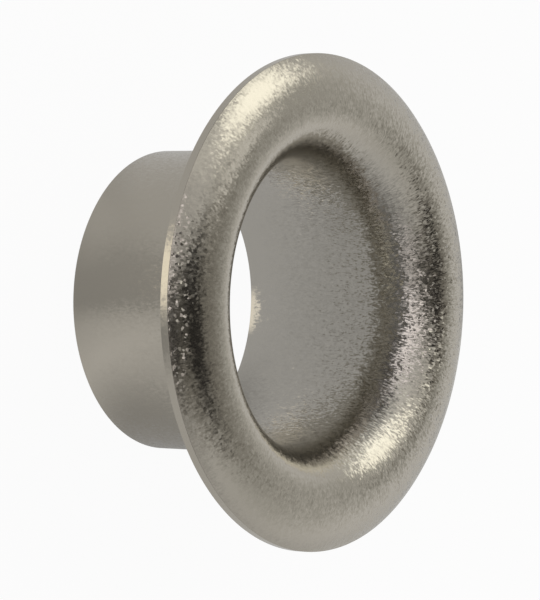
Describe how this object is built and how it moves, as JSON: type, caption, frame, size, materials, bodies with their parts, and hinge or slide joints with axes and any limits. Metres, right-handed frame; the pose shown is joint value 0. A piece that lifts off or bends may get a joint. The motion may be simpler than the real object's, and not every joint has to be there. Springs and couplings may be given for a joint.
{
  "type": "air vent grommet",
  "caption": "Round drawn-metal vent grommet: a straight open barrel flows through a smooth bell-mouthed throat into a domed flange with a trimmed edge, in satin nickel.",
  "frame": {"origin": "centre of the barrel's free end, on the axis, which is also the bottom centre of the part as it stands", "axes": "+Z along the barrel's axis, out through the open face of the flange; +X and +Y are any two directions across it"},
  "size_m": [0.02, 0.02, 0.0089],
  "materials": {
    "satin_nickel_plate": "satin nickel plate over drawn sheet metal, fine blasted grain"
  },
  "bodies": {
    "root": {"grommet": "satin_nickel_plate"}
  },
  "joints": []
}
